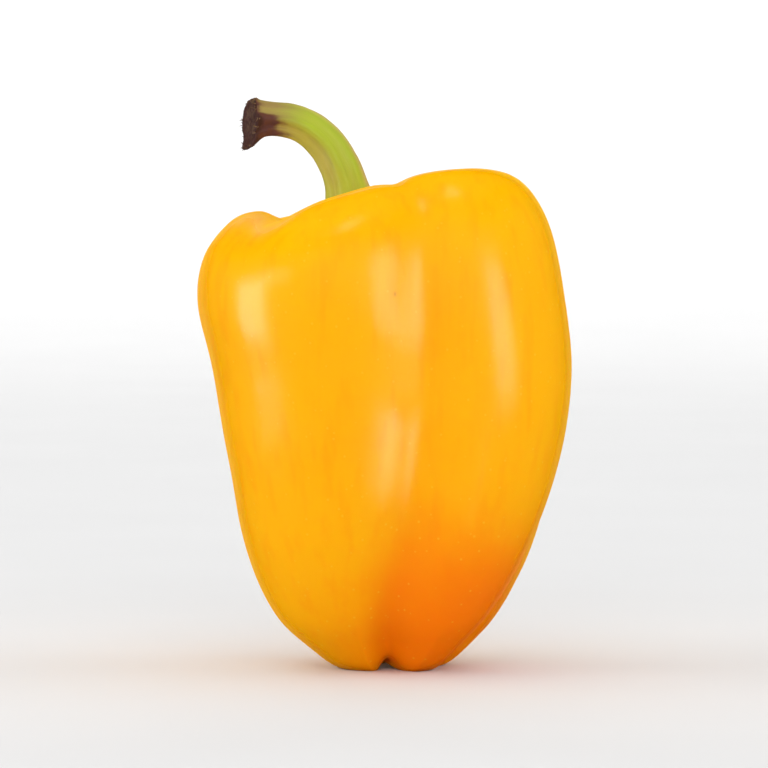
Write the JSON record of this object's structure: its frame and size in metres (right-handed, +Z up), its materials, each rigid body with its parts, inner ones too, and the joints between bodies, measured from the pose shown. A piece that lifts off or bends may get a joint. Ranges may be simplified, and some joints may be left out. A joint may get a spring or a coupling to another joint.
{
  "type": "mini sweet pepper",
  "caption": "Small blocky yellow sweet pepper with a lobed body, a dimpled blossom end, and a curved green stem on a toothed calyx, standing upright.",
  "frame": {"origin": "middle of the bounding box at its bottom, on the surface that the pepper stands on", "axes": "+Z up, from the blossom end to the stem; -Y towards the side that the picture shows; +X to the right of that view"},
  "size_m": [0.0451, 0.0421, 0.0685],
  "materials": {
    "fruit_skin": "smooth waxy skin, golden yellow, soft gloss",
    "stem_green": "satin green stalk, dry and dark brown at the broken end"
  },
  "bodies": {
    "root": {"fruit": "fruit_skin", "stem": "stem_green"}
  },
  "joints": []
}
